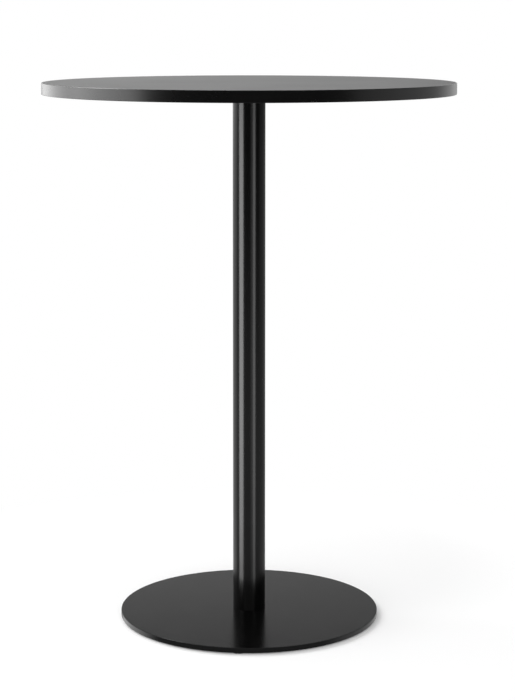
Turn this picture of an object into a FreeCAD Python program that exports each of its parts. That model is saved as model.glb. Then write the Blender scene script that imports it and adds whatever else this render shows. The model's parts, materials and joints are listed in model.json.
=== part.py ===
"""Round standing-height table on one steel column and a flat steel disc.

All lengths are millimetres. The origin is on the floor, on the axis of the column, with +Z up.
The laminated top is bolted to a steel plate. The plate and the base disc are each bolted to a plug
that is welded into an end of the column, so no flange or screw shows from above.
Four low levelling glides screw into blind tapped holes under the base disc.
"""

import FreeCAD
import Part
import math
import os

# Overall sizes
TABLE_HEIGHT = 1055.0
TOP_DIAMETER = 800.0
TOP_THICKNESS = 22.0
COLUMN_DIAMETER = 63.5
BASE_DIAMETER = 508.0
BASE_THICKNESS = 10.0

# Laminated top: core board, face sheet, backing sheet and a band round the edge
FACE_THICKNESS = 1.0
BACKING_THICKNESS = 1.0
BAND_THICKNESS = 2.0
BAND_ARRIS_RADIUS = 1.0
GLUE_LINE = 0.1

# Threaded inserts that are sunk into the underside of the core
INSERT_DIAMETER = 10.0
INSERT_LENGTH = 11.0
INSERT_RIB_HEIGHT = 0.5
INSERT_RIB_COUNT = 4
INSERT_CLEARANCE = 0.1
INSERT_END_GAP = 1.0

# Steel plate between the column and the top
PLATE_DIAMETER = 300.0
PLATE_THICKNESS = 5.0
PLATE_ARRIS_RADIUS = 0.6

# Button-head screws and washers that hold the top to the plate
PLATE_SCREW_COUNT = 8
PLATE_SCREW_INSET = 16.0
PLATE_SCREW_DIAMETER = 6.0
PLATE_SCREW_PITCH = 1.0
PLATE_SCREW_END_GAP = 1.6
PLATE_HOLE_CLEARANCE = 0.4
BUTTON_DIAMETER = 10.5
BUTTON_HEIGHT = 3.3
BUTTON_FLAT_DIAMETER = 5.6
BUTTON_SOCKET_WIDTH = 4.0
BUTTON_SOCKET_DEPTH = 2.0
WASHER_DIAMETER = 13.0
WASHER_THICKNESS = 1.6
WASHER_CLEARANCE = 0.2

# Column tube and the plugs welded into its ends
COLUMN_WALL = 2.0
PLUG_THICKNESS = 16.0
PLUG_CLEARANCE = 0.1
PLUG_VENT_DIAMETER = 6.0

# Countersunk screws through the plate and the base disc into the plugs
COLUMN_SCREW_COUNT = 4
COLUMN_SCREW_INSET = 10.75
COLUMN_SCREW_DIAMETER = 8.0
COLUMN_SCREW_PITCH = 1.25
UPPER_SCREW_BITE = 11.0
LOWER_SCREW_BITE = 12.0
COUNTERSUNK_HEAD_DIAMETER = 16.0
COUNTERSUNK_RECESS = 0.3
COUNTERSUNK_SEAT_GAP = 0.05
COUNTERSUNK_SOCKET_WIDTH = 5.0
COUNTERSUNK_SOCKET_DEPTH = 3.0
COLUMN_HOLE_CLEARANCE = 0.5

# Base disc
BASE_ARRIS_RADIUS = 0.8

# Levelling glides: a steel stem with a flange that is moulded into a nylon pad
FOOT_INSET = 15.0
FOOT_STEM_DIAMETER = 8.0
FOOT_STEM_PITCH = 1.25
FOOT_STEM_CLEARANCE = 0.08
FOOT_HOLE_SKIN = 1.0
FOOT_TIP_GAP = 0.3
FOOT_PAD_DIAMETER = 26.0
FOOT_PAD_THICKNESS = 2.0
FOOT_PAD_SOLE = 0.7
FOOT_PAD_CHAMFER = 0.4
FOOT_FLANGE_DIAMETER = 14.0
FOOT_FLANGE_THICKNESS = 0.8
FOOT_FLANGE_CLEARANCE = 0.1
FOOT_GRIP_COUNT = 12
FOOT_GRIP_RADIUS = 1.4

# Threads are drawn as rings, one for each turn
THREAD_DEPTH_PER_PITCH = 0.6
THREAD_CLEARANCE = 0.05

# Heights worked out from the sizes above
TOP_UNDERSIDE = TABLE_HEIGHT - TOP_THICKNESS
CORE_BOTTOM = TOP_UNDERSIDE + BACKING_THICKNESS
CORE_TOP = TABLE_HEIGHT - FACE_THICKNESS
PLATE_BOTTOM = TOP_UNDERSIDE - PLATE_THICKNESS
BASE_BOTTOM = FOOT_PAD_THICKNESS
BASE_TOP = BASE_BOTTOM + BASE_THICKNESS

# Radii worked out from the sizes above
TOP_RADIUS = TOP_DIAMETER / 2
BOARD_RADIUS = TOP_RADIUS - BAND_THICKNESS - GLUE_LINE
PLATE_RADIUS = PLATE_DIAMETER / 2
COLUMN_RADIUS = COLUMN_DIAMETER / 2
BORE_RADIUS = COLUMN_RADIUS - COLUMN_WALL
BASE_RADIUS = BASE_DIAMETER / 2
PLATE_SCREW_CIRCLE = PLATE_RADIUS - PLATE_SCREW_INSET
COLUMN_SCREW_CIRCLE = BORE_RADIUS - COLUMN_SCREW_INSET
FOOT_CIRCLE = BASE_RADIUS - FOOT_INSET

# Glides stand just inside the rim of the base disc, one on each side of the table
FOOT_ANGLES = {"front": 270.0, "right": 0.0, "rear": 90.0, "left": 180.0}

CENTRE = FreeCAD.Vector(0, 0, 0)
UP = FreeCAD.Vector(0, 0, 1)
ACROSS = FreeCAD.Vector(1, 0, 0)


def cylinder(radius, bottom, top):
    """Upright cylinder on the Z axis between two heights."""
    return Part.makeCylinder(radius, top - bottom, FreeCAD.Vector(0, 0, bottom))


def turned(outline):
    """Solid of revolution about Z from a closed outline of (radius, height) points."""
    points = [FreeCAD.Vector(radius, 0, height) for radius, height in outline]
    face = Part.Face(Part.makePolygon(points + points[:1]))
    return face.revolve(CENTRE, UP, 360)


def rounded_rims(solid, rim_radius, arris):
    """Rounds every circular edge of the given radius about Z."""
    rims = [
        edge
        for edge in solid.Edges
        if isinstance(edge.Curve, Part.Circle)
        and abs(edge.Curve.Radius - rim_radius) < 1e-6
        and edge.Curve.Center.cross(UP).Length < 1e-6
    ]
    return solid.makeFillet(arris, rims)


def circle_places(count, circle, first_angle):
    """Points spaced evenly on a circle about Z, at height zero."""
    angles = [math.radians(first_angle + 360.0 * turn / count) for turn in range(count)]
    return [FreeCAD.Vector(circle * math.cos(a), circle * math.sin(a), 0) for a in angles]


def copies(solid, places):
    """One copy of the solid at each place."""
    return [solid.translated(place) for place in places]


def group(solids):
    """Like pieces kept as separate solids of one node."""
    return Part.makeCompound(solids)


def threaded_outline(radius, pitch, length):
    """Outline points of a ringed rod that stands on height zero, from its foot up to its tip."""
    root = radius - THREAD_DEPTH_PER_PITCH * pitch
    turns = int(length / pitch)
    points = [(radius, length - turns * pitch)]
    for turn in range(turns):
        ring_foot = length - (turns - turn) * pitch
        points.append((root, ring_foot + pitch / 4))
        points.append((radius, ring_foot + 3 * pitch / 4))
    points.append((root, length))
    return points


def hexagon_cutter(width, depth):
    """Six-sided prism that goes up from height zero, for the socket of a screw."""
    corner = width / math.sqrt(3)
    points = circle_places(6, corner, 0)
    return Part.Face(Part.makePolygon(points + points[:1])).extrude(UP * depth)


def button_screw(shank_length):
    """Button-head screw pointing up, with the seat of its head at height zero."""
    head_radius = BUTTON_DIAMETER / 2
    flat_radius = BUTTON_FLAT_DIAMETER / 2
    bulge = math.pi / 4
    rim = FreeCAD.Vector(head_radius, 0, 0)
    shoulder = FreeCAD.Vector(
        flat_radius + (head_radius - flat_radius) * math.cos(bulge), 0, -BUTTON_HEIGHT * math.sin(bulge)
    )
    crown = FreeCAD.Vector(flat_radius, 0, -BUTTON_HEIGHT)
    crown_centre = FreeCAD.Vector(0, 0, -BUTTON_HEIGHT)
    outline = Part.Wire(
        [
            Part.LineSegment(CENTRE, rim).toShape(),
            Part.Arc(rim, shoulder, crown).toShape(),
            Part.LineSegment(crown, crown_centre).toShape(),
            Part.LineSegment(crown_centre, CENTRE).toShape(),
        ]
    )
    head = Part.Face(outline).revolve(CENTRE, UP, 360)
    socket = hexagon_cutter(BUTTON_SOCKET_WIDTH, BUTTON_SOCKET_DEPTH)
    head = head.cut(socket.translated(crown_centre))
    thread = threaded_outline(PLATE_SCREW_DIAMETER / 2, PLATE_SCREW_PITCH, shank_length)
    shank = turned([(0, 0), (PLATE_SCREW_DIAMETER / 2, 0)] + thread + [(0, shank_length)])
    return head.fuse(shank).removeSplitter()


def countersunk_screw(length):
    """Countersunk screw pointing up, with the flat of its head at height zero."""
    head_radius = COUNTERSUNK_HEAD_DIAMETER / 2
    shank_radius = COLUMN_SCREW_DIAMETER / 2
    head_height = head_radius - shank_radius
    thread = threaded_outline(shank_radius, COLUMN_SCREW_PITCH, length - head_height)
    shank = [(radius, height + head_height) for radius, height in thread]
    screw = turned([(0, 0), (head_radius, 0), (shank_radius, head_height)] + shank + [(0, length)])
    return screw.cut(hexagon_cutter(COUNTERSUNK_SOCKET_WIDTH, COUNTERSUNK_SOCKET_DEPTH))


def countersunk_hole(thickness):
    """Cutter for a countersunk screw that enters a plate from below, with the plate's face at height zero."""
    hole_radius = COLUMN_SCREW_DIAMETER / 2 + COLUMN_HOLE_CLEARANCE
    mouth_radius = COUNTERSUNK_HEAD_DIAMETER / 2 + COUNTERSUNK_RECESS + COUNTERSUNK_SEAT_GAP
    cone_depth = mouth_radius - hole_radius
    return turned(
        [(0, 0), (mouth_radius, 0), (hole_radius, cone_depth), (hole_radius, thickness), (0, thickness)]
    )


def facing_down(solid):
    """The same solid turned over, end for end, about the X axis."""
    return solid.rotated(CENTRE, ACROSS, 180)


PLATE_SCREW_PLACES = circle_places(PLATE_SCREW_COUNT, PLATE_SCREW_CIRCLE, 180.0 / PLATE_SCREW_COUNT)
COLUMN_SCREW_PLACES = circle_places(COLUMN_SCREW_COUNT, COLUMN_SCREW_CIRCLE, 0)


def insert_holes(bottom):
    """Cutters for the holes that the threaded inserts are sunk into, from a height upwards."""
    radius = INSERT_DIAMETER / 2 + INSERT_CLEARANCE
    hole = cylinder(radius, bottom, TOP_UNDERSIDE + INSERT_LENGTH + INSERT_END_GAP)
    return copies(hole, PLATE_SCREW_PLACES)


def make_core():
    """Core board of the top, with blind holes for the inserts."""
    return cylinder(BOARD_RADIUS, CORE_BOTTOM, CORE_TOP).cut(insert_holes(CORE_BOTTOM))


def make_face_sheet():
    """Matt laminate on the upper side of the core."""
    return cylinder(BOARD_RADIUS, CORE_TOP, TABLE_HEIGHT)


def make_backing_sheet():
    """Laminate on the underside that keeps the board flat, holed for the inserts."""
    return cylinder(BOARD_RADIUS, TOP_UNDERSIDE, CORE_BOTTOM).cut(insert_holes(TOP_UNDERSIDE))


def make_edge_band():
    """Band glued round the edge over the full thickness, with rounded arrises."""
    band = cylinder(TOP_RADIUS, TOP_UNDERSIDE, TABLE_HEIGHT)
    band = band.cut(cylinder(TOP_RADIUS - BAND_THICKNESS, TOP_UNDERSIDE, TABLE_HEIGHT))
    return rounded_rims(band, TOP_RADIUS, BAND_ARRIS_RADIUS)


def make_inserts():
    """Brass inserts, ribbed outside so that they grip the board."""
    outer = INSERT_DIAMETER / 2
    bore = PLATE_SCREW_DIAMETER / 2 + THREAD_CLEARANCE
    rib_step = INSERT_LENGTH / INSERT_RIB_COUNT
    outline = [(bore, 0)]
    for rib in range(INSERT_RIB_COUNT):
        rib_foot = rib * rib_step
        outline.append((outer, rib_foot))
        outline.append((outer, rib_foot + rib_step / 2))
        outline.append((outer - INSERT_RIB_HEIGHT, rib_foot + rib_step / 2))
        outline.append((outer - INSERT_RIB_HEIGHT, rib_foot + rib_step))
    outline.append((bore, INSERT_LENGTH))
    insert = turned(outline).translated(UP * TOP_UNDERSIDE)
    return group(copies(insert, PLATE_SCREW_PLACES))


def make_mounting_plate():
    """Round steel plate, countersunk on its upper side for the column's screws."""
    plate = cylinder(PLATE_RADIUS, PLATE_BOTTOM, TOP_UNDERSIDE)
    plate = rounded_rims(plate, PLATE_RADIUS, PLATE_ARRIS_RADIUS)
    hole_radius = PLATE_SCREW_DIAMETER / 2 + PLATE_HOLE_CLEARANCE
    top_holes = copies(cylinder(hole_radius, PLATE_BOTTOM, TOP_UNDERSIDE), PLATE_SCREW_PLACES)
    column_hole = facing_down(countersunk_hole(PLATE_THICKNESS)).translated(UP * TOP_UNDERSIDE)
    return plate.cut(top_holes + copies(column_hole, COLUMN_SCREW_PLACES))


def make_plate_screws():
    """Screws from below through the washers and the plate into the inserts."""
    shank_length = WASHER_THICKNESS + PLATE_THICKNESS + INSERT_LENGTH - PLATE_SCREW_END_GAP
    screw = button_screw(shank_length).translated(UP * (PLATE_BOTTOM - WASHER_THICKNESS))
    return group(copies(screw, PLATE_SCREW_PLACES))


def make_plate_washers():
    """Flat washers under the heads of the plate's screws."""
    bore = PLATE_SCREW_DIAMETER / 2 + WASHER_CLEARANCE
    bottom = PLATE_BOTTOM - WASHER_THICKNESS
    washer = cylinder(WASHER_DIAMETER / 2, bottom, PLATE_BOTTOM).cut(cylinder(bore, bottom, PLATE_BOTTOM))
    return group(copies(washer, PLATE_SCREW_PLACES))


def make_column_tube():
    """Round tube from the base disc up to the plate."""
    return cylinder(COLUMN_RADIUS, BASE_TOP, PLATE_BOTTOM).cut(cylinder(BORE_RADIUS, BASE_TOP, PLATE_BOTTOM))


def make_plug(bottom):
    """Steel plug in an end of the tube, tapped for the column's screws and vented in the middle."""
    top = bottom + PLUG_THICKNESS
    tapped_hole = cylinder(COLUMN_SCREW_DIAMETER / 2 + THREAD_CLEARANCE, bottom, top)
    vent = cylinder(PLUG_VENT_DIAMETER / 2, bottom, top)
    plug = cylinder(BORE_RADIUS - PLUG_CLEARANCE, bottom, top)
    return plug.cut(copies(tapped_hole, COLUMN_SCREW_PLACES) + [vent])


def make_upper_column_screws():
    """Screws from above through the plate into the upper plug, sunk below the plate's face."""
    length = PLATE_THICKNESS - COUNTERSUNK_RECESS + UPPER_SCREW_BITE
    head_face = TOP_UNDERSIDE - COUNTERSUNK_RECESS
    screw = facing_down(countersunk_screw(length)).translated(UP * head_face)
    return group(copies(screw, COLUMN_SCREW_PLACES))


def make_lower_column_screws():
    """Screws from below through the base disc into the lower plug, sunk below the disc's face."""
    length = BASE_THICKNESS - COUNTERSUNK_RECESS + LOWER_SCREW_BITE
    screw = countersunk_screw(length).translated(UP * (BASE_BOTTOM + COUNTERSUNK_RECESS))
    return group(copies(screw, COLUMN_SCREW_PLACES))


def make_base_disc(foot_places):
    """Flat steel disc with rounded arrises, countersunk and blind-tapped from below."""
    disc = rounded_rims(cylinder(BASE_RADIUS, BASE_BOTTOM, BASE_TOP), BASE_RADIUS, BASE_ARRIS_RADIUS)
    column_hole = countersunk_hole(BASE_THICKNESS).translated(UP * BASE_BOTTOM)
    foot_hole = cylinder(FOOT_STEM_DIAMETER / 2 + FOOT_STEM_CLEARANCE, BASE_BOTTOM, BASE_TOP - FOOT_HOLE_SKIN)
    return disc.cut(copies(column_hole, COLUMN_SCREW_PLACES) + copies(foot_hole, foot_places))


def make_foot_stem(place):
    """Threaded stem of a glide with the round flange that its pad is moulded on."""
    stem_radius = FOOT_STEM_DIAMETER / 2
    flange_radius = FOOT_FLANGE_DIAMETER / 2
    flange_top = FOOT_PAD_SOLE + FOOT_FLANGE_THICKNESS
    tip = BASE_TOP - FOOT_HOLE_SKIN - FOOT_TIP_GAP
    thread = threaded_outline(stem_radius, FOOT_STEM_PITCH, tip - flange_top)
    stem = [(radius, height + flange_top) for radius, height in thread]
    outline = [(0, FOOT_PAD_SOLE), (flange_radius, FOOT_PAD_SOLE), (flange_radius, flange_top)]
    return turned(outline + [(stem_radius, flange_top)] + stem + [(0, tip)]).translated(place)


def make_foot_pad(place):
    """Nylon pad of a glide: a sole, a pocket round the stem's flange and a notched rim to turn it by."""
    pad_radius = FOOT_PAD_DIAMETER / 2
    pocket_radius = FOOT_FLANGE_DIAMETER / 2 + FOOT_FLANGE_CLEARANCE
    pocket_top = FOOT_PAD_SOLE + FOOT_FLANGE_THICKNESS + FOOT_FLANGE_CLEARANCE
    throat_radius = FOOT_STEM_DIAMETER / 2 + FOOT_FLANGE_CLEARANCE
    pad = turned(
        [
            (0, 0),
            (pad_radius - FOOT_PAD_CHAMFER, 0),
            (pad_radius, FOOT_PAD_CHAMFER),
            (pad_radius, FOOT_PAD_THICKNESS),
            (throat_radius, FOOT_PAD_THICKNESS),
            (throat_radius, pocket_top),
            (pocket_radius, pocket_top),
            (pocket_radius, FOOT_PAD_SOLE),
            (0, FOOT_PAD_SOLE),
        ]
    )
    notch = cylinder(FOOT_GRIP_RADIUS, 0, FOOT_PAD_THICKNESS)
    notched = pad.cut(copies(notch, circle_places(FOOT_GRIP_COUNT, pad_radius, 0)))
    return notched.translated(place)


def make_nodes():
    """Every piece by the name of its node."""
    foot_places = {name: circle_places(1, FOOT_CIRCLE, angle)[0] for name, angle in FOOT_ANGLES.items()}
    nodes = {
        "tabletop_core": make_core(),
        "tabletop_face_sheet": make_face_sheet(),
        "tabletop_backing_sheet": make_backing_sheet(),
        "tabletop_edge_band": make_edge_band(),
        "threaded_inserts": make_inserts(),
        "mounting_plate": make_mounting_plate(),
        "plate_screws": make_plate_screws(),
        "plate_washers": make_plate_washers(),
        "column_tube": make_column_tube(),
        "upper_column_plug": make_plug(PLATE_BOTTOM - PLUG_THICKNESS),
        "lower_column_plug": make_plug(BASE_TOP),
        "upper_column_screws": make_upper_column_screws(),
        "lower_column_screws": make_lower_column_screws(),
        "base_disc": make_base_disc(list(foot_places.values())),
    }
    for name, place in foot_places.items():
        nodes[f"{name}_foot_stem"] = make_foot_stem(place)
        nodes[f"{name}_foot_pad"] = make_foot_pad(place)
    return nodes


def main():
    """Writes one STEP file for each node."""
    os.makedirs("parts", exist_ok=True)
    for name, shape in make_nodes().items():
        if not shape.isValid():
            raise ValueError(f"{name} is not a valid solid")
        shape.exportStep(os.path.join("parts", name + ".step"))


main()
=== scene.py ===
"""Looks of a round pub table: a laminated black top on a powder-coated column and base disc.

Lengths are metres. The table stands on the floor at the origin, with +Z up and its front towards -Y.
"""

import json
import math

import bpy
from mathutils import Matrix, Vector


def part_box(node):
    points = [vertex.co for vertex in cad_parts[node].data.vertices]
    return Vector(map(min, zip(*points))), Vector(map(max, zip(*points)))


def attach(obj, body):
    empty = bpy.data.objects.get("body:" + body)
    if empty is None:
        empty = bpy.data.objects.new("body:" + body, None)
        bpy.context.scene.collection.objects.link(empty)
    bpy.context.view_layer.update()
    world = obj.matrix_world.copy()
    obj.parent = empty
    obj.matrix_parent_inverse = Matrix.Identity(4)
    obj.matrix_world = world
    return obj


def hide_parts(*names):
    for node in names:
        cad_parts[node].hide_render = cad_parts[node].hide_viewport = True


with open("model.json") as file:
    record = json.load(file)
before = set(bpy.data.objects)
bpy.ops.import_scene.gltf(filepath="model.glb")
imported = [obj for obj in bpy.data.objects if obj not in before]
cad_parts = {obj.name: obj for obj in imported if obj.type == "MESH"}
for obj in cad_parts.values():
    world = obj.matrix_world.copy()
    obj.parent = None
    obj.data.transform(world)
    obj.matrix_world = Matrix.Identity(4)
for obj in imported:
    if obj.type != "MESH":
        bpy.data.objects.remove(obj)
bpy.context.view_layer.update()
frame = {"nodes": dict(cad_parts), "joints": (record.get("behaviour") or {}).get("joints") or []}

bl_info = {
    "name": "Round pub table",
    "version": (1, 0, 0),
    "blender": (4, 5, 0),
    "location": "3D View > Sidebar > Table",
    "description": "Models the visible pieces of a round pub table, their finishes and a plain studio",
    "category": "Object",
}

TABLE_BODY = "table"
PHOTO_WIDTH_PX = 515
PHOTO_HEIGHT_PX = 700

# A cutter reaches past the faces that it cuts by this length.
CUT_MARGIN = 0.001
# Points of a mesh that are closer than this become one.
MERGE_DISTANCE = 1e-6
# Faces that meet at less than this angle are shaded as one.
SMOOTH_DEGREES = 35
# Rings of edges on a flat round face, as shares of its radius.
FACE_RINGS = (0.25, 0.5, 0.75, 0.92)
# Depth of a thread's grooves, as a share of its pitch.
THREAD_DEPTH = 0.6
# Most of a noise pattern lies between these two values.
PATTERN_LOW = 0.3
PATTERN_HIGH = 0.7
# The floor is so wide that its sides don't show.
FLOOR_SIDES = 64

# Heights between which one tone of the studio fades into the next, from -1 straight down to 1 straight up.
NEAR_GROUND_FADE = (-0.31, -0.25)
SIDE_GROUND_FADE = (-0.31, -0.296)
FRONT_GROUND_FADE = (-0.27, -0.08)
HORIZON_FADE = (-0.08, 0)
BACKDROP_FADE = (0.02, 0.397)
FRONT_WALL_FADE = (0.12, 0.26)
CEILING_FADE = (0.4, 0.8)
# Shares of a direction that point to the middle of a tone, between which that tone fades in from its sides.
BACKDROP_SIDES = (0.22, 0.9)
LEFT_SIDES = (0.72, 0.93)
RIGHT_SIDES = (0.5, 0.85)


def band_softbox(bearing, width, radiance):
    """Upright softbox that lights the edge band only."""
    return {
        "bearing": bearing, "distance": 2.4, "height": 1.3, "aim_height": 1.3, "size": (width, 2.4),
        "radiance": radiance, "lit": ("top_edge_band",),
    }


def column_strip(bearing, width, radiance):
    """Far softbox that lights the column only and shows on it as a pale line."""
    return {
        "bearing": bearing, "distance": 5.0, "height": -0.235, "aim_height": -0.235, "size": (width, 2.37),
        "radiance": radiance, "lit": ("column",), "blockers": ("column", "base"),
    }


# Softboxes, with bearings in degrees from the viewer, negative to the left, and lengths in metres.
# A softbox lights the named pieces only. The blockers shade it, or everything does where none is named.
SOFTBOXES = {
    "left_key": {
        "bearing": -95, "distance": 2.2, "height": 2.6, "aim_height": 0.0, "size": (1.2, 1.2),
        "radiance": 8.0, "lit": ("top_face_sheet", "top_edge_band", "top_backing_sheet", "column", "base"),
    },
    "front_softbox": {
        "bearing": 0, "distance": 6.0, "height": 2.6, "aim_height": 2.6, "size": (9.0, 2.6),
        "radiance": 0.4, "lit": ("top_face_sheet", "base"),
    },
    "low_floor_softbox": {
        "bearing": -15, "distance": 2.4, "height": 0.26, "aim_height": 0.26, "size": (4.1, 0.5),
        "radiance": 11.7, "lit": ("floor",),
    },
    "rear_floor_softbox": {
        "bearing": -140, "distance": 2.4, "height": 2.3, "aim_height": 2.3, "size": (4.5, 1.8),
        "radiance": 5.6, "lit": ("floor",),
    },
    "high_floor_softbox": {
        "bearing": -2, "distance": 1.14, "height": 4.1, "aim_height": 0.0, "size": (0.7, 0.7),
        "radiance": 15.0, "lit": ("floor",),
    },
    "left_softbox": band_softbox(bearing=-80, width=2.2, radiance=3.1),
    "left_rear_softbox": band_softbox(bearing=-127, width=1.9, radiance=1.6),
    "right_softbox": band_softbox(bearing=104, width=5.6, radiance=0.45),
    "right_rear_softbox": band_softbox(bearing=150, width=2.5, radiance=0.35),
    "arris_softbox": {
        "bearing": -120, "distance": 2.4, "height": 3.3, "aim_height": 1.05, "size": (2.0, 1.2),
        "radiance": 11.0, "lit": ("top_edge_band",),
    },
    "left_strip": column_strip(bearing=-57.5, width=2.9, radiance=5.6),
    "right_strip": column_strip(bearing=36, width=1.5, radiance=2.4),
    "right_fill_strip": column_strip(bearing=19.5, width=1.4, radiance=0.45),
}


def outer_radius(node):
    """Radius of a round node about the column's axis."""
    low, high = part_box(node)
    return max(high.x, high.y, -low.x, -low.y)


def span(node):
    """Lowest and highest point of a node."""
    low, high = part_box(node)
    return low.z, high.z


def round_places(how_many, circle, first_turn=0.0):
    """Points spaced evenly on a circle about the column's axis."""
    turns = [first_turn + math.tau * place / how_many for place in range(how_many)]
    return [Vector((circle * math.cos(turn), circle * math.sin(turn), 0)) for turn in turns]


def plate_screw_places(sizes):
    """Axis of each plate screw, with the first one half a step round from the right."""
    return round_places(sizes.plate_screws, sizes.plate_screw_circle, math.pi / sizes.plate_screws)


def column_screw_places(sizes):
    """Axis of each screw at one end of the column, with the first one at the right."""
    return round_places(sizes.column_screws, sizes.column_screw_circle)


def foot_places():
    """Axis of each levelling glide, on the floor."""
    hinges = [joint for joint in frame["joints"] if joint["type"] == "hinge"]
    return [Vector((joint["pos_m"][0], joint["pos_m"][1], 0)) for joint in hinges]


def length(name, default, description):
    """Property that holds a length."""
    return bpy.props.FloatProperty(
        name=name, description=description, default=default, min=0, precision=5, unit="LENGTH"
    )


def count(name, default, description):
    """Property that holds a whole number."""
    return bpy.props.IntProperty(name=name, description=description, default=default, min=3)


def share(name, default, description):
    """Property that holds a number from 0 to 1."""
    return bpy.props.FloatProperty(
        name=name, description=description, default=default, min=0, max=1, subtype="FACTOR"
    )


def colour(name, default, description):
    """Property that holds a colour in scene-linear values."""
    return bpy.props.FloatVectorProperty(
        name=name, description=description, default=(*default, 1), size=4, min=0, max=1, subtype="COLOR"
    )


def angle(name, degrees, description):
    """Property that holds an angle."""
    return bpy.props.FloatProperty(
        name=name, description=description, default=math.radians(degrees), subtype="ANGLE"
    )


def number(name, default, description):
    """Property that holds a plain number."""
    return bpy.props.FloatProperty(name=name, description=description, default=default)


class TableSizes(bpy.types.PropertyGroup):
    """Sizes and counts of the details that are modelled here"""

    disc_steps: count("Disc steps", 288, "Faces round the top and the base disc")
    column_steps: count("Column steps", 160, "Faces round the column")
    screw_steps: count("Screw steps", 48, "Faces round a screw or a hole")
    arris_steps: count("Arris steps", 5, "Faces across a rounded arris")
    dome_steps: count("Dome steps", 10, "Faces from the flat of a button head to its rim")
    support: length("Support", 0.0004, "Distance of the extra edge beside a rounded arris")
    band_arris: length("Band arris", 0.001, "Rounding of the edge band's arrises")
    sheet_arris: length("Sheet arris", 0.00015, "Easing of the laminate where it meets the edge band")
    base_arris: length("Base arris", 0.0008, "Rounding of the base disc's arrises")
    plate_arris: length("Plate arris", 0.0006, "Rounding of the mounting plate's arrises")
    column_arris: length("Column arris", 0.0004, "Easing of the ends of the column tube")
    band_thickness: length("Band thickness", 0.002, "Thickness of the edge band")
    column_wall: length("Column wall", 0.002, "Wall of the column tube")
    plate_screws: count("Plate screws", 8, "Screws that hold the top to its plate")
    plate_screw_circle: length("Plate screw circle", 0.134, "Radius of the circle of plate screws")
    plate_screw_radius: length("Plate screw radius", 0.003, "Radius of a plate screw's thread")
    plate_screw_pitch: length("Plate screw pitch", 0.001, "Pitch of a plate screw's thread")
    plate_hole_radius: length("Plate hole radius", 0.0034, "Radius of the plate's clearance holes")
    button_radius: length("Button radius", 0.00525, "Radius of a button head")
    button_height: length("Button height", 0.0033, "Height of a button head")
    button_flat: length("Button flat", 0.0028, "Radius of the flat on a button head")
    button_socket: length("Button socket", 0.004, "Width of a button head's socket across its flats")
    button_socket_depth: length("Button socket depth", 0.002, "Depth of a button head's socket")
    washer_radius: length("Washer radius", 0.0065, "Radius of a plate washer")
    washer_hole: length("Washer hole", 0.0032, "Radius of a plate washer's hole")
    washer_arris: length("Washer arris", 0.0003, "Rounding of a stamped washer's edges")
    insert_hole_radius: length("Insert hole radius", 0.0051, "Radius of the holes for the threaded inserts")
    column_screws: count("Column screws", 4, "Screws at each end of the column")
    column_screw_circle: length("Column screw circle", 0.019, "Radius of the circle of column screws")
    column_screw_radius: length("Column screw radius", 0.004, "Radius of a column screw's thread")
    column_screw_pitch: length("Column screw pitch", 0.00125, "Pitch of a column screw's thread")
    column_hole_radius: length("Column hole radius", 0.0045, "Radius of the holes for the column screws")
    countersunk_radius: length("Countersunk radius", 0.008, "Radius of a countersunk head")
    countersunk_recess: length("Countersunk recess", 0.0003, "Depth of a countersunk head below the face")
    countersunk_land: length("Countersunk land", 0.0003, "Height of the upright rim of a countersunk head")
    countersunk_socket: length("Countersunk socket", 0.005, "Width of the socket across its flats")
    countersunk_socket_depth: length("Countersunk socket depth", 0.003, "Depth of the socket")
    seat_gap: length("Seat gap", 0.00005, "Gap between a countersunk head and its seat")
    foot_hole_radius: length("Foot hole radius", 0.00408, "Radius of the tapped holes for the glides")
    foot_hole_skin: length("Foot hole skin", 0.001, "Metal left above the tapped holes for the glides")


class TableFinish(bpy.types.PropertyGroup):
    """Colours and gloss of the table's finishes"""

    coat_colour: colour("Powder coat", (0.0014, 0.0014, 0.0015), "Black powder coat on the steel")
    coat_roughness: share("Powder coat roughness", 0.19, "Gloss of the powder coat")
    laminate_colour: colour("Laminate", (0.0165, 0.0165, 0.017), "Matt black laminate")
    laminate_roughness: share("Laminate roughness", 0.34, "Gloss of the laminate")
    band_colour: colour("Edge band", (0.0016, 0.0016, 0.0017), "Black edge band")
    band_roughness: share("Edge band roughness", 0.28, "Gloss of the edge band")
    board_colour: colour("Board", (0.29, 0.18, 0.095), "Fibreboard of the core")
    board_roughness: share("Board roughness", 0.85, "Gloss of the fibreboard")
    zinc_colour: colour("Zinc", (0.6, 0.61, 0.63), "Zinc plating of the screws")
    zinc_roughness: share("Zinc roughness", 0.3, "Gloss of the zinc plating")
    steel_colour: colour("Steel", (0.42, 0.41, 0.4), "Bare turned steel")
    steel_roughness: share("Steel roughness", 0.34, "Gloss of the bare steel")
    brass_colour: colour("Brass", (0.66, 0.45, 0.16), "Brass of the inserts")
    brass_roughness: share("Brass roughness", 0.28, "Gloss of the brass")
    nylon_colour: colour("Nylon", (0.014, 0.014, 0.0145), "Black nylon of the glides")
    nylon_roughness: share("Nylon roughness", 0.5, "Gloss of the nylon")


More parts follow.
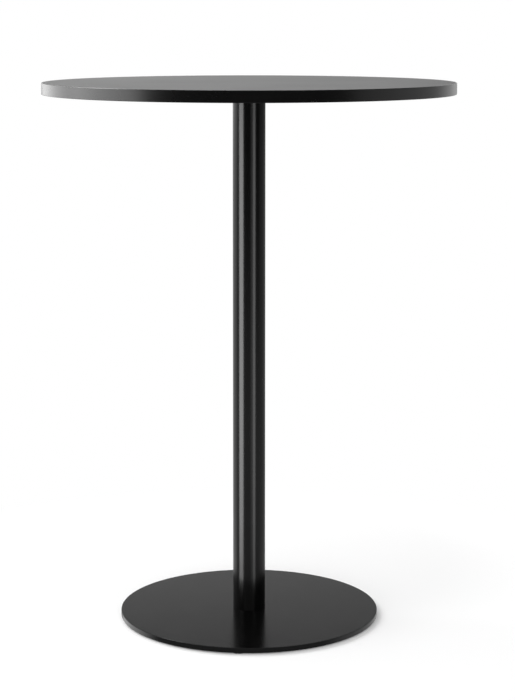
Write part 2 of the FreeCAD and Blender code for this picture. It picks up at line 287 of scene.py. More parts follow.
class StageSettings(bpy.types.PropertyGroup):
    """Camera, lights and floor of a plain studio"""

    viewer_bearing: angle("Viewer bearing", 4.8, "Bearing of the camera from the front, to the right")
    camera_distance: length("Camera distance", 3.713, "Distance of the camera from the column")
    camera_height: length("Camera height", 1.189, "Height of the camera above the floor")
    camera_pitch: angle("Camera pitch", 6.5, "Angle of the camera below the horizon")
    focal_px: number("Focal length in pixels", 1916.5, "Focal length on the photograph's frame")
    axis_px: number("Column axis in pixels", 249.1, "Column's place across the photograph's frame")
    level_px: number("Optical axis in pixels", 230.6, "Optical axis down the photograph's frame")
    floor_radius: length("Floor radius", 40.0, "Radius of the white floor")
    floor_albedo: share("Floor albedo", 0.8, "Share of light that the floor sends back")
    floor_lift: share("Floor lift", 0.152, "White that the camera sees on top of the lit floor")
    shadow_inner: length("Shadow inner radius", 0.6, "Radius within which the floor shows shadows")
    shadow_outer: length("Shadow outer radius", 1.0, "Radius from which the floor is plain white")
    horizon_level: number("Horizon level", 1.62, "Brightness of the backdrop at the height of the eye")
    wall_level: number("Wall level", 0.05, "Brightness of the walls further up")
    ceiling_level: number("Ceiling level", 0.65, "Brightness of the ceiling")
    backdrop_bearing: angle("Backdrop bearing", -137, "Bearing of the backdrop's middle from the viewer")
    front_level: number("Front level", 0.015, "Brightness of the studio behind the camera")
    front_wall_level: number("Front wall level", 0.1, "Brightness of the studio above the camera")
    front_floor_level: number("Front floor level", 0.5, "Brightness of the ground by the camera")
    near_floor_level: number("Near floor level", 0.2, "Brightness of the ground just before the table")
    left_bearing: angle("Left bearing", -128, "Bearing of the pale ground at the left rear")
    left_floor_level: number("Left floor level", 0.75, "Brightness of the ground at the left rear")
    left_near_level: number("Left near level", 1.65, "Brightness of the ground left of the base")
    right_bearing: angle("Right bearing", 125, "Bearing of the pale ground at the right rear")
    right_floor_level: number("Right floor level", 0.3, "Brightness of the ground at the right rear")
    right_near_level: number("Right near level", 0.8, "Brightness of the ground right of the base")


def select_only(piece):
    """Leaves one object selected and active, in object mode."""
    bpy.ops.object.select_all(action="DESELECT")
    piece.select_set(True)
    bpy.context.view_layer.objects.active = piece


def turned(name, outline, steps):
    """Piece of revolution: a point drawn along the outline of (radius, height) points and spun about Z."""
    bpy.ops.object.select_all(action="DESELECT")
    bpy.ops.mesh.primitive_plane_add(size=1, enter_editmode=True)
    piece = bpy.context.active_object
    piece.name = name
    piece.data.name = name
    bpy.ops.mesh.merge(type="CENTER")
    start = Vector((outline[0][0], 0, outline[0][1]))
    bpy.ops.transform.translate(value=start)
    for (radius, height), (next_radius, next_height) in zip(outline, outline[1:]):
        stroke = (next_radius - radius, 0, next_height - height)
        bpy.ops.mesh.extrude_region_move(TRANSFORM_OT_translate={"value": stroke})
    bpy.ops.mesh.select_all(action="SELECT")
    bpy.ops.mesh.spin(steps=steps, angle=math.tau, center=(0, 0, 0), axis=(0, 0, 1))
    bpy.ops.mesh.select_all(action="SELECT")
    bpy.ops.mesh.remove_doubles(threshold=MERGE_DISTANCE)
    bpy.ops.mesh.normals_make_consistent(inside=False)
    bpy.ops.object.mode_set(mode="OBJECT")
    return piece


def arc(centre_radius, centre_height, size, first, last, steps):
    """Points of a rounded arris about a centre, between two angles in quarter turns."""
    angles = [(first + (last - first) * step / steps) * math.pi / 2 for step in range(steps + 1)]
    return [
        (centre_radius + size * math.cos(turn), centre_height + size * math.sin(turn)) for turn in angles
    ]


def disc_outline(radius, low, high, arris, sizes):
    """Outline of a solid disc with both its arrises rounded, from its top centre to its lower centre."""
    keep = sizes.support
    face_rings = [radius * ring for ring in FACE_RINGS]
    points = [(0, high)] + [(ring, high) for ring in face_rings] + [(radius - arris - keep, high)]
    points += arc(radius - arris, high - arris, arris, 1, 0, sizes.arris_steps)
    points += [(radius, high - arris - keep / 2), (radius, low + arris + keep / 2)]
    points += arc(radius - arris, low + arris, arris, 0, -1, sizes.arris_steps)
    points += [(radius - arris - keep, low)] + [(ring, low) for ring in reversed(face_rings)] + [(0, low)]
    return points


def ring_outline(inner, outer, low, high, arris, sizes):
    """Closed outline of a ring with its two outer arrises rounded."""
    keep = min(sizes.support, arris)
    points = [(inner, high), (outer - arris - keep / 4, high)]
    points += arc(outer - arris, high - arris, arris, 1, 0, sizes.arris_steps)
    points += [(outer, high - arris - keep), (outer, low + arris + keep)]
    points += arc(outer - arris, low + arris, arris, 0, -1, sizes.arris_steps)
    points += [(outer - arris - keep / 4, low), (inner, low), (inner, high)]
    return points


def thread_outline(radius, pitch, foot, tip):
    """Outline points of a ringed thread, from its foot to its tip, on either side of it."""
    depth = THREAD_DEPTH * pitch
    way = 1 if tip > foot else -1
    turns = int(abs(tip - foot) / pitch)
    points = [(radius, tip - way * turns * pitch)]
    for turn in range(turns):
        ring_foot = tip - way * (turns - turn) * pitch
        points.append((radius - depth, ring_foot + way * pitch / 4))
        points.append((radius, ring_foot + way * 3 * pitch / 4))
    points.append((radius - depth, tip))
    return points


def cut_away(piece, cutter):
    """Cuts the cutter's shape out of the piece, deletes the cutter and merges doubled points."""
    select_only(piece)
    bpy.ops.object.modifier_add(type="BOOLEAN")
    cut = piece.modifiers[-1]
    cut.operation = "DIFFERENCE"
    cut.solver = "EXACT"
    cut.object = cutter
    bpy.ops.object.modifier_apply(modifier=cut.name)
    bpy.data.objects.remove(cutter)
    bpy.ops.object.mode_set(mode="EDIT")
    bpy.ops.mesh.select_all(action="SELECT")
    bpy.ops.mesh.remove_doubles(threshold=MERGE_DISTANCE)
    bpy.ops.mesh.dissolve_degenerate(threshold=MERGE_DISTANCE)
    bpy.ops.object.mode_set(mode="OBJECT")


def spread(piece, places):
    """Copies a piece to every place, each copy with its own mesh, and joins the copies into one object."""
    name = piece.name
    bunch = []
    for place in places:
        select_only(piece)
        bpy.ops.object.duplicate()
        copy = bpy.context.active_object
        copy.location = place
        bpy.ops.object.transform_apply(location=True, rotation=True, scale=True)
        bunch.append(copy)
    bpy.data.objects.remove(piece)
    select_only(bunch[0])
    for copy in bunch:
        copy.select_set(True)
    bpy.ops.object.join()
    joined = bpy.context.active_object
    joined.name = name
    joined.data.name = name
    return joined


def hexagon(width, low, high):
    """Six-sided cutter for a screw's socket."""
    bpy.ops.object.select_all(action="DESELECT")
    bpy.ops.mesh.primitive_cylinder_add(
        vertices=6, radius=width / math.sqrt(3), depth=high - low, location=(0, 0, (low + high) / 2)
    )
    bpy.ops.object.transform_apply(location=True, rotation=True, scale=True)
    return bpy.context.active_object


def hole_cutter(radius, low, high, steps):
    """Round cutter between two heights."""
    return turned("cutter", [(0, high), (radius, high), (radius, low), (0, low)], steps)


def through_cutter(radius, node, sizes):
    """Round cutter that reaches past both faces of a node."""
    low, high = span(node)
    return hole_cutter(radius, low - CUT_MARGIN, high + CUT_MARGIN, sizes.screw_steps)


def countersunk_cutter(face, far, sizes):
    """Cutter for a countersunk hole with its mouth at one height, through to another."""
    way = 1 if far > face else -1
    hole = sizes.column_hole_radius
    mouth = sizes.countersunk_radius + sizes.countersunk_recess + sizes.seat_gap
    outside = face - way * CUT_MARGIN
    beyond = far + way * CUT_MARGIN
    outline = [(0, outside), (mouth + CUT_MARGIN, outside), (hole, face + way * (mouth - hole))]
    outline += [(hole, beyond), (0, beyond)]
    return turned("cutter", outline, sizes.screw_steps)


def dress(piece, material):
    """Smooths a finished piece up to an angle and gives it its material."""
    select_only(piece)
    bpy.ops.object.shade_smooth_by_angle(angle=math.radians(SMOOTH_DEGREES))
    piece.data.materials.clear()
    piece.data.materials.append(material)


def fit_piece(piece, node, material):
    """Finishes a piece that stands for a fixed node of the table."""
    dress(piece, material)
    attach(piece, TABLE_BODY)
    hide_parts(node)


def paint_nodes(names, material):
    """Gives CAD nodes that stay as they are a better material."""
    for name in names:
        node = frame["nodes"][name]
        node.data.materials.clear()
        node.data.materials.append(material)


def new_material(name):
    """Material with its node tree and its shader."""
    material = bpy.data.materials.new(name)
    material.use_nodes = True
    return material, material.node_tree, material.node_tree.nodes["Principled BSDF"]


def own_coordinates(tree):
    """The piece's own coordinates."""
    return tree.nodes.new("ShaderNodeTexCoord").outputs["Object"]


def noise(tree, cells_per_metre, detail, stretch=(1, 1, 1)):
    """Smooth random pattern from 0 to 1 on the piece's own coordinates."""
    mapping = tree.nodes.new("ShaderNodeMapping")
    mapping.inputs["Scale"].default_value = stretch
    texture = tree.nodes.new("ShaderNodeTexNoise")
    texture.inputs["Scale"].default_value = cells_per_metre
    texture.inputs["Detail"].default_value = detail
    tree.links.new(own_coordinates(tree), mapping.inputs["Vector"])
    tree.links.new(mapping.outputs["Vector"], texture.inputs["Vector"])
    return texture.outputs["Fac"]


def vary_roughness(tree, shader, pattern, roughness, less, more):
    """Turns the middle of a pattern into values about the shader's roughness."""
    values = tree.nodes.new("ShaderNodeMapRange")
    values.inputs["From Min"].default_value = PATTERN_LOW
    values.inputs["From Max"].default_value = PATTERN_HIGH
    values.inputs["To Min"].default_value = roughness - less
    values.inputs["To Max"].default_value = roughness + more
    tree.links.new(pattern, values.inputs["Value"])
    tree.links.new(values.outputs["Result"], shader.inputs["Roughness"])


def vary_colour(tree, shader, pattern, base, darker, lighter):
    """Turns the middle of a pattern into shades of the shader's colour."""
    shades = tree.nodes.new("ShaderNodeValToRGB")
    dark_end, light_end = shades.color_ramp.elements
    dark_end.position = PATTERN_LOW
    dark_end.color = (*[darker * part for part in base[:3]], 1)
    light_end.position = PATTERN_HIGH
    light_end.color = (*[lighter * part for part in base[:3]], 1)
    tree.links.new(pattern, shades.inputs["Fac"])
    tree.links.new(shades.outputs["Color"], shader.inputs["Base Color"])


def add_bump(tree, pattern, height, normal=None):
    """Raises the surface by a pattern whose full height is given in metres."""
    bump = tree.nodes.new("ShaderNodeBump")
    bump.inputs["Strength"].default_value = 1
    bump.inputs["Distance"].default_value = height
    tree.links.new(pattern, bump.inputs["Height"])
    if normal is not None:
        tree.links.new(normal, bump.inputs["Normal"])
    return bump.outputs["Normal"]


def powder_coat(finish):
    """Satin black powder coat with a slight orange peel."""
    material, tree, shader = new_material("satin_powder_coat")
    tone = noise(tree, cells_per_metre=9, detail=3)
    vary_colour(tree, shader, tone, finish.coat_colour, darker=0.85, lighter=1.15)
    gloss = noise(tree, cells_per_metre=21, detail=4)
    vary_roughness(tree, shader, gloss, finish.coat_roughness, less=0.012, more=0.012)
    peel = add_bump(tree, noise(tree, cells_per_metre=520, detail=2), height=0.000006)
    grain = noise(tree, cells_per_metre=2600, detail=1)
    tree.links.new(add_bump(tree, grain, height=0.000002, normal=peel), shader.inputs["Normal"])
    return material


def laminate(finish):
    """Matt black laminate with a fine pressed grain."""
    material, tree, shader = new_material("matt_laminate")
    tone = noise(tree, cells_per_metre=34, detail=6)
    vary_colour(tree, shader, tone, finish.laminate_colour, darker=0.82, lighter=1.18)
    gloss = noise(tree, cells_per_metre=7, detail=5)
    vary_roughness(tree, shader, gloss, finish.laminate_roughness, less=0.008, more=0.008)
    grain = noise(tree, cells_per_metre=1500, detail=3)
    tree.links.new(add_bump(tree, grain, height=0.000006), shader.inputs["Normal"])
    return material


def edge_plastic(finish):
    """Satin black plastic of the edge band, with faint marks that run round the edge."""
    material, tree, shader = new_material("satin_edge_plastic")
    tone = noise(tree, cells_per_metre=26, detail=4)
    vary_colour(tree, shader, tone, finish.band_colour, darker=0.85, lighter=1.15)
    gloss = noise(tree, cells_per_metre=12, detail=3)
    vary_roughness(tree, shader, gloss, finish.band_roughness, less=0.015, more=0.015)
    marks = noise(tree, cells_per_metre=60, detail=2, stretch=(1, 1, 30))
    tree.links.new(add_bump(tree, marks, height=0.000004), shader.inputs["Normal"])
    return material


def fibreboard(finish):
    """Brown pressed fibres of the core board."""
    material, tree, shader = new_material("pressed_fibreboard")
    fibres = noise(tree, cells_per_metre=420, detail=6, stretch=(1, 1, 6))
    vary_colour(tree, shader, fibres, finish.board_colour, darker=0.75, lighter=1.2)
    tree.links.new(add_bump(tree, fibres, height=0.00008), shader.inputs["Normal"])
    shader.inputs["Roughness"].default_value = finish.board_roughness
    return material


def metal(name, base, roughness, cells_per_metre, stretch=(1, 1, 1)):
    """Bare or plated metal with a slight change of tone and gloss."""
    material, tree, shader = new_material(name)
    pattern = noise(tree, cells_per_metre, detail=5, stretch=stretch)
    vary_colour(tree, shader, pattern, base, darker=0.86, lighter=1.06)
    vary_roughness(tree, shader, pattern, roughness, less=0.06, more=0.08)
    tree.links.new(add_bump(tree, pattern, height=0.000006), shader.inputs["Normal"])
    shader.inputs["Metallic"].default_value = 1
    return material


def nylon(finish):
    """Black moulded nylon with a fine spark-eroded grain."""
    material, tree, shader = new_material("moulded_nylon")
    tone = noise(tree, cells_per_metre=180, detail=4)
    vary_colour(tree, shader, tone, finish.nylon_colour, darker=0.85, lighter=1.2)
    gloss = noise(tree, cells_per_metre=400, detail=3)
    vary_roughness(tree, shader, gloss, finish.nylon_roughness, less=0.06, more=0.06)
    grain = noise(tree, cells_per_metre=3200, detail=2)
    tree.links.new(add_bump(tree, grain, height=0.00001), shader.inputs["Normal"])
    return material


def coat_material(context):
    """Powder coat of the column, the base disc and the mounting plate, made once."""
    return bpy.data.materials.get("satin_powder_coat") or powder_coat(context.scene.table_finish)


def laminate_material(context):
    """Laminate of the face sheet and the backing sheet, made once."""
    return bpy.data.materials.get("matt_laminate") or laminate(context.scene.table_finish)


def zinc_material(context):
    """Zinc plating of the screws, washers and stems, made once."""
    name = "zinc_plating"
    finish = context.scene.table_finish
    return bpy.data.materials.get(name) or metal(
        name, finish.zinc_colour, finish.zinc_roughness, cells_per_metre=900
    )


class PUB_TABLE_OT_face_sheet(bpy.types.Operator):
    """Models the laminate on the upper side of the top"""

    bl_idname = "pub_table.face_sheet"
    bl_label = "Face sheet"

    def execute(self, context):
        sizes = context.scene.table_sizes
        node = "tabletop_face_sheet"
        outline = disc_outline(outer_radius(node), *span(node), sizes.sheet_arris, sizes)
        piece = turned("top_face_sheet", outline, sizes.disc_steps)
        fit_piece(piece, node, laminate_material(context))
        return {"FINISHED"}


class PUB_TABLE_OT_backing_sheet(bpy.types.Operator):
    """Models the laminate under the top, holed for the inserts"""

    bl_idname = "pub_table.backing_sheet"
    bl_label = "Backing sheet"

    def execute(self, context):
        sizes = context.scene.table_sizes
        node = "tabletop_backing_sheet"
        low, high = span(node)
        outline = disc_outline(outer_radius(node), low, high, sizes.sheet_arris, sizes)
        piece = turned("top_backing_sheet", outline, sizes.disc_steps)
        cutter = through_cutter(sizes.insert_hole_radius, node, sizes)
        cut_away(piece, spread(cutter, plate_screw_places(sizes)))
        fit_piece(piece, node, laminate_material(context))
        return {"FINISHED"}


class PUB_TABLE_OT_edge_band(bpy.types.Operator):
    """Models the band round the edge of the top"""

    bl_idname = "pub_table.edge_band"
    bl_label = "Edge band"

    def execute(self, context):
        sizes = context.scene.table_sizes
        node = "tabletop_edge_band"
        radius = outer_radius(node)
        outline = ring_outline(radius - sizes.band_thickness, radius, *span(node), sizes.band_arris, sizes)
        piece = turned("top_edge_band", outline, sizes.disc_steps)
        fit_piece(piece, node, edge_plastic(context.scene.table_finish))
        return {"FINISHED"}


class PUB_TABLE_OT_mounting_plate(bpy.types.Operator):
    """Models the steel plate under the top, with its clearance and countersunk holes"""

    bl_idname = "pub_table.mounting_plate"
    bl_label = "Mounting plate"

    def execute(self, context):
        sizes = context.scene.table_sizes
        node = "mounting_plate"
        low, high = span(node)
        outline = disc_outline(outer_radius(node), low, high, sizes.plate_arris, sizes)
        piece = turned("top_mounting_plate", outline, sizes.disc_steps)
        cutter = through_cutter(sizes.plate_hole_radius, node, sizes)
        cut_away(piece, spread(cutter, plate_screw_places(sizes)))
        cutter = countersunk_cutter(high, low, sizes)
        cut_away(piece, spread(cutter, column_screw_places(sizes)))
        fit_piece(piece, node, coat_material(context))
        return {"FINISHED"}


class PUB_TABLE_OT_plate_screws(bpy.types.Operator):
    """Models the button-head screws and washers that hold the top to its plate"""

    bl_idname = "pub_table.plate_screws"
    bl_label = "Plate screws and washers"

    def execute(self, context):
        sizes = context.scene.table_sizes
        places = plate_screw_places(sizes)
        crown, tip = span("plate_screws")
        seat = crown + sizes.button_height
        thread = thread_outline(sizes.plate_screw_radius, sizes.plate_screw_pitch, seat, tip)
        steps = sizes.dome_steps
        bulge = [math.pi / 2 * step / steps for step in range(steps, -1, -1)]
        shoulder = sizes.button_radius - sizes.button_flat
        dome = [
            (sizes.button_flat + shoulder * math.cos(turn), seat - sizes.button_height * math.sin(turn))
            for turn in bulge
        ]
        outline = [(0, crown)] + dome + [(sizes.plate_screw_radius, seat)] + thread + [(0, tip)]
        screw = turned("plate_button_screws", outline, sizes.screw_steps)
        socket_end = crown + sizes.button_socket_depth
        cut_away(screw, hexagon(sizes.button_socket, crown - CUT_MARGIN, socket_end))
        fit_piece(spread(screw, places), "plate_screws", zinc_material(context))
        low, high = span("plate_washers")
        outline = ring_outline(sizes.washer_hole, sizes.washer_radius, low, high, sizes.washer_arris, sizes)
        washer = turned("plate_flat_washers", outline, sizes.screw_steps)
        fit_piece(spread(washer, places), "plate_washers", zinc_material(context))
        return {"FINISHED"}


class PUB_TABLE_OT_column(bpy.types.Operator):
    """Models the column tube"""

    bl_idname = "pub_table.column"
    bl_label = "Column"

    def execute(self, context):
        sizes = context.scene.table_sizes
        node = "column_tube"
        radius = outer_radius(node)
        outline = ring_outline(radius - sizes.column_wall, radius, *span(node), sizes.column_arris, sizes)
        piece = turned("column", outline, sizes.column_steps)
        fit_piece(piece, node, coat_material(context))
        return {"FINISHED"}


class PUB_TABLE_OT_base_disc(bpy.types.Operator):
    """Models the base disc, countersunk and blind-tapped from below"""

    bl_idname = "pub_table.base_disc"
    bl_label = "Base disc"

    def execute(self, context):
        sizes = context.scene.table_sizes
        node = "base_disc"
        low, high = span(node)
        outline = disc_outline(outer_radius(node), low, high, sizes.base_arris, sizes)
        piece = turned("base", outline, sizes.disc_steps)
        cutter = countersunk_cutter(low, high, sizes)
        cut_away(piece, spread(cutter, column_screw_places(sizes)))
        hole_end = high - sizes.foot_hole_skin
        cutter = hole_cutter(sizes.foot_hole_radius, low - CUT_MARGIN, hole_end, sizes.screw_steps)
        cut_away(piece, spread(cutter, foot_places()))
        fit_piece(piece, node, coat_material(context))
        return {"FINISHED"}


class PUB_TABLE_OT_column_screws(bpy.types.Operator):
    """Models the countersunk screws at both ends of the column"""

    bl_idname = "pub_table.column_screws"
    bl_label = "Column screws"

    def execute(self, context):
        sizes = context.scene.table_sizes
        places = column_screw_places(sizes)
        lower_face, lower_tip = span("lower_column_screws")
        upper_tip, upper_face = span("upper_column_screws")
        for node, name, face, tip in (
            ("lower_column_screws", "base_countersunk_screws", lower_face, lower_tip),
            ("upper_column_screws", "plate_countersunk_screws", upper_face, upper_tip),
        ):
            way = 1 if tip > face else -1
            neck = face + way * (sizes.countersunk_radius - sizes.column_screw_radius)
            thread = thread_outline(sizes.column_screw_radius, sizes.column_screw_pitch, neck, tip)
            rim = sizes.countersunk_radius - sizes.countersunk_land
            outline = [(0, face), (rim, face), (rim, face + way * sizes.countersunk_land)]
            outline += [(sizes.column_screw_radius, neck)] + thread + [(0, tip)]
            screw = turned(name, outline, sizes.screw_steps)
            socket_ends = sorted((face - way * CUT_MARGIN, face + way * sizes.countersunk_socket_depth))
            cut_away(screw, hexagon(sizes.countersunk_socket, *socket_ends))
            fit_piece(spread(screw, places), node, zinc_material(context))
        return {"FINISHED"}


class PUB_TABLE_OT_hidden_pieces(bpy.types.Operator):
    """Finishes the board, the inserts and the plugs, which keep their shapes"""

    bl_idname = "pub_table.hidden_pieces"
    bl_label = "Hidden pieces"

    def execute(self, context):
        finish = context.scene.table_finish
        paint_nodes(["tabletop_core"], fibreboard(finish))
        brass = metal(
            "turned_brass", finish.brass_colour, finish.brass_roughness,
            cells_per_metre=700, stretch=(1, 1, 8),
        )
        paint_nodes(["threaded_inserts"], brass)
        steel = metal(
            "turned_steel", finish.steel_colour, finish.steel_roughness,
            cells_per_metre=500, stretch=(1, 1, 10),
        )
        paint_nodes(["upper_column_plug", "lower_column_plug"], steel)
        return {"FINISHED"}


class PUB_TABLE_OT_glides(bpy.types.Operator):
    """Finishes the stems and pads of the levelling glides, which keep their shapes"""

    bl_idname = "pub_table.glides"
    bl_label = "Levelling glides"

    def execute(self, context):
        stems = [name for name in frame["nodes"] if name.endswith("_foot_stem")]
        pads = [name for name in frame["nodes"] if name.endswith("_foot_pad")]
        paint_nodes(stems, zinc_material(context))
        paint_nodes(pads, nylon(context.scene.table_finish))
        return {"FINISHED"}


def around(bearing, distance, height):
    """Point at a bearing from the front about the column's axis, to the left where negative."""
    return Vector((distance * math.sin(bearing), -distance * math.cos(bearing), height))


def collected(name, pieces):
    """Collection of the named objects, which isn't part of the scene itself."""
    collection = bpy.data.collections.new(name)
    for piece in pieces:
        collection.objects.link(bpy.data.objects[piece])
    return collection


def add_softbox(name, values, viewer_bearing):
    """Rectangular light, aimed at the column's axis."""
    width, tall = values["size"]
    bearing = viewer_bearing + math.radians(values["bearing"])
    place = around(bearing, values["distance"], values["height"])
    aim = Vector((0, 0, values["aim_height"])) - place
    bpy.ops.object.light_add(type="AREA", location=place)
    lamp = bpy.context.active_object
    lamp.name = name
    lamp.data.shape = "RECTANGLE"
    lamp.data.size = width
    lamp.data.size_y = tall
    lamp.data.energy = values["radiance"] * math.pi * width * tall
    lamp.rotation_euler = aim.to_track_quat("-Z", "Y").to_euler()
    lamp.visible_camera = False
    lamp.light_linking.receiver_collection = collected(name + "_receivers", values["lit"])
    if "blockers" in values:
        lamp.light_linking.blocker_collection = collected(name + "_blockers", values["blockers"])


def feed(tree, socket, value):
    """Gives a socket the output of another node, or a plain value."""
    if isinstance(value, bpy.types.NodeSocket):
        tree.links.new(value, socket)
    else:
        socket.default_value = value


def arithmetic(tree, operation, first, second):
    """Result of a sum or a product of two values."""
    node = tree.nodes.new("ShaderNodeMath")
    node.operation = operation
    feed(tree, node.inputs[0], first)
    feed(tree, node.inputs[1], second)
    return node.outputs["Value"]


def ramp(tree, value, limits, low, high):
    """Soft step of a value between two limits, from one level to another."""
    step = tree.nodes.new("ShaderNodeMapRange")
    step.interpolation_type = "SMOOTHSTEP"
    step.inputs["From Min"].default_value, step.inputs["From Max"].default_value = limits
    tree.links.new(value, step.inputs["Value"])
    feed(tree, step.inputs["To Min"], low)
    feed(tree, step.inputs["To Max"], high)
    return step.outputs["Result"]


def facing(tree, direction, bearing):
    """Share of a direction that points to a bearing from the front, to the left where negative."""
    share_of = tree.nodes.new("ShaderNodeVectorMath")
    share_of.operation = "DOT_PRODUCT"
    share_of.inputs[1].default_value = around(bearing, 1, 0)
    tree.links.new(direction, share_of.inputs[0])
    return share_of.outputs["Value"]


def studio_walls(tree, settings):
    """Brightness of the studio in every direction: pale low walls, dark behind the camera, and a ceiling."""
    viewer = settings.viewer_bearing
    direction = tree.nodes.new("ShaderNodeTexCoord").outputs["Generated"]
    parts = tree.nodes.new("ShaderNodeSeparateXYZ")
    tree.links.new(direction, parts.inputs["Vector"])
    height = parts.outputs["Z"]
    backdrop = ramp(tree, height, BACKDROP_FADE, settings.horizon_level, settings.wall_level)
    front_wall = ramp(tree, height, FRONT_WALL_FADE, settings.front_level, settings.front_wall_level)
    rear = facing(tree, direction, viewer + settings.backdrop_bearing)
    walls = ramp(tree, rear, BACKDROP_SIDES, front_wall, backdrop)
    ground = ramp(tree, height, FRONT_GROUND_FADE, settings.front_floor_level, settings.front_level)
    ground = ramp(tree, height, NEAR_GROUND_FADE, settings.near_floor_level, ground)
    left = facing(tree, direction, viewer + settings.left_bearing)
    left_ground = ramp(
        tree, height, SIDE_GROUND_FADE, settings.left_near_level, settings.left_floor_level
    )
    ground = ramp(tree, left, LEFT_SIDES, ground, left_ground)
    right = facing(tree, direction, viewer + settings.right_bearing)
    right_ground = ramp(
        tree, height, SIDE_GROUND_FADE, settings.right_near_level, settings.right_floor_level
    )
    ground = ramp(tree, right, RIGHT_SIDES, ground, right_ground)
    sides = ramp(tree, height, HORIZON_FADE, ground, walls)
    ceiling = ramp(tree, height, CEILING_FADE, 0, settings.ceiling_level)
    return arithmetic(tree, "ADD", sides, ceiling)


def studio_world(settings):
    """White to the camera, and a studio with pale walls and a dark front to the light."""
    world = bpy.data.worlds.new("studio")
    bpy.context.scene.world = world
    world.use_nodes = True
    tree = world.node_tree
    background = tree.nodes["Background"]
    seen = tree.nodes.new("ShaderNodeMix")
    seen.data_type = "FLOAT"
    camera_ray = tree.nodes.new("ShaderNodeLightPath").outputs["Is Camera Ray"]
    tree.links.new(camera_ray, seen.inputs["Factor"])
    tree.links.new(studio_walls(tree, settings), seen.inputs["A"])
    seen.inputs["B"].default_value = 1
    tree.links.new(seen.outputs["Result"], background.inputs["Strength"])
    background.inputs["Color"].default_value = (1, 1, 1, 1)


def mix_shaders(tree, second_share, first, second):
    """Mix of two shaders by the share of the second."""
    mix = tree.nodes.new("ShaderNodeMixShader")
    for socket, source in zip(mix.inputs, (second_share, first, second)):
        tree.links.new(source, socket)
    return mix.outputs["Shader"]


def floor_material(settings):
    """Matt white floor that keeps the table's shadow, plain white further out and clear from below."""
    material, tree, shader = new_material("white_floor")
    tree.nodes.remove(shader)
    camera_ray = tree.nodes.new("ShaderNodeLightPath").outputs["Is Camera Ray"]
    matt = tree.nodes.new("ShaderNodeBsdfDiffuse")
    matt.inputs["Color"].default_value = (*[settings.floor_albedo] * 3, 1)
    lift = tree.nodes.new("ShaderNodeEmission")
    tree.links.new(arithmetic(tree, "MULTIPLY", camera_ray, settings.floor_lift), lift.inputs["Strength"])
    near = tree.nodes.new("ShaderNodeAddShader")
    tree.links.new(matt.outputs["BSDF"], near.inputs[0])
    tree.links.new(lift.outputs["Emission"], near.inputs[1])
    distance = tree.nodes.new("ShaderNodeVectorMath")
    distance.operation = "LENGTH"
    tree.links.new(own_coordinates(tree), distance.inputs[0])
    limits = (settings.shadow_inner, settings.shadow_outer)
    outward = ramp(tree, distance.outputs["Value"], limits, 0, 1)
    white_share = arithmetic(tree, "MULTIPLY", outward, camera_ray)
    white = tree.nodes.new("ShaderNodeEmission").outputs["Emission"]
    upper_side = mix_shaders(tree, white_share, near.outputs["Shader"], white)
    lower_side = tree.nodes.new("ShaderNodeNewGeometry").outputs["Backfacing"]
    clear = tree.nodes.new("ShaderNodeBsdfTransparent").outputs["BSDF"]
    both_sides = mix_shaders(tree, lower_side, upper_side, clear)
    tree.links.new(both_sides, tree.nodes["Material Output"].inputs["Surface"])
    return material


def add_camera(settings):
    """Camera at the photograph's viewing angle."""
    place = around(settings.viewer_bearing, settings.camera_distance, settings.camera_height)
    turn = (math.pi / 2 - settings.camera_pitch, 0, settings.viewer_bearing)
    bpy.ops.object.camera_add(location=place, rotation=turn)
    camera = bpy.context.active_object
    camera.name = "photo_camera"
    camera.data.lens = settings.focal_px * camera.data.sensor_width / PHOTO_HEIGHT_PX
    camera.data.shift_x = (PHOTO_WIDTH_PX / 2 - settings.axis_px) / PHOTO_HEIGHT_PX
    camera.data.shift_y = (settings.level_px - PHOTO_HEIGHT_PX / 2) / PHOTO_HEIGHT_PX
    bpy.context.scene.camera = camera


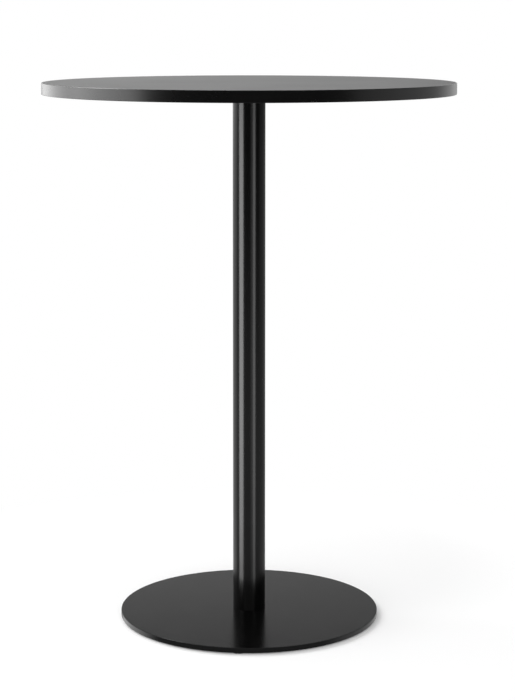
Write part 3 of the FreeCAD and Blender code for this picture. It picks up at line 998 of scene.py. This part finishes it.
class PUB_TABLE_OT_stage(bpy.types.Operator):
    """Sets up the floor, the studio light and the camera"""

    bl_idname = "pub_table.stage"
    bl_label = "Stage"

    def execute(self, context):
        settings = context.scene.table_stage
        context.scene.view_settings.view_transform = "Standard"
        bpy.ops.object.select_all(action="DESELECT")
        bpy.ops.mesh.primitive_circle_add(
            vertices=FLOOR_SIDES, radius=settings.floor_radius, fill_type="NGON"
        )
        floor = context.active_object
        floor.name = "floor"
        floor.data.materials.append(floor_material(settings))
        floor.visible_glossy = False
        for name, values in SOFTBOXES.items():
            add_softbox(name, values, settings.viewer_bearing)
        studio_world(settings)
        add_camera(settings)
        return {"FINISHED"}


PIECE_OPERATORS = (
    PUB_TABLE_OT_face_sheet,
    PUB_TABLE_OT_backing_sheet,
    PUB_TABLE_OT_edge_band,
    PUB_TABLE_OT_mounting_plate,
    PUB_TABLE_OT_plate_screws,
    PUB_TABLE_OT_column,
    PUB_TABLE_OT_base_disc,
    PUB_TABLE_OT_column_screws,
    PUB_TABLE_OT_hidden_pieces,
    PUB_TABLE_OT_glides,
)


class PUB_TABLE_PT_pieces(bpy.types.Panel):
    """Lists the table's pieces and the stage"""

    bl_idname = "PUB_TABLE_PT_pieces"
    bl_label = "Pub table"
    bl_space_type = "VIEW_3D"
    bl_region_type = "UI"
    bl_category = "Table"

    def draw(self, context):
        for operator in (*PIECE_OPERATORS, PUB_TABLE_OT_stage):
            self.layout.operator(operator.bl_idname)


CLASSES = (TableSizes, TableFinish, StageSettings, *PIECE_OPERATORS, PUB_TABLE_OT_stage, PUB_TABLE_PT_pieces)


def register():
    """Registers the classes and gives the scene their settings."""
    for item in CLASSES:
        bpy.utils.register_class(item)
    bpy.types.Scene.table_sizes = bpy.props.PointerProperty(type=TableSizes)
    bpy.types.Scene.table_finish = bpy.props.PointerProperty(type=TableFinish)
    bpy.types.Scene.table_stage = bpy.props.PointerProperty(type=StageSettings)


def unregister():
    """Takes the settings and the classes away again."""
    del bpy.types.Scene.table_stage
    del bpy.types.Scene.table_finish
    del bpy.types.Scene.table_sizes
    for item in reversed(CLASSES):
        bpy.utils.unregister_class(item)


def main():
    """Builds the pieces and the stage in order."""
    register()
    bpy.ops.pub_table.face_sheet()
    bpy.ops.pub_table.backing_sheet()
    bpy.ops.pub_table.edge_band()
    bpy.ops.pub_table.mounting_plate()
    bpy.ops.pub_table.plate_screws()
    bpy.ops.pub_table.column()
    bpy.ops.pub_table.base_disc()
    bpy.ops.pub_table.column_screws()
    bpy.ops.pub_table.hidden_pieces()
    bpy.ops.pub_table.glides()
    bpy.ops.pub_table.stage()


if __name__ == "__main__":
    main()
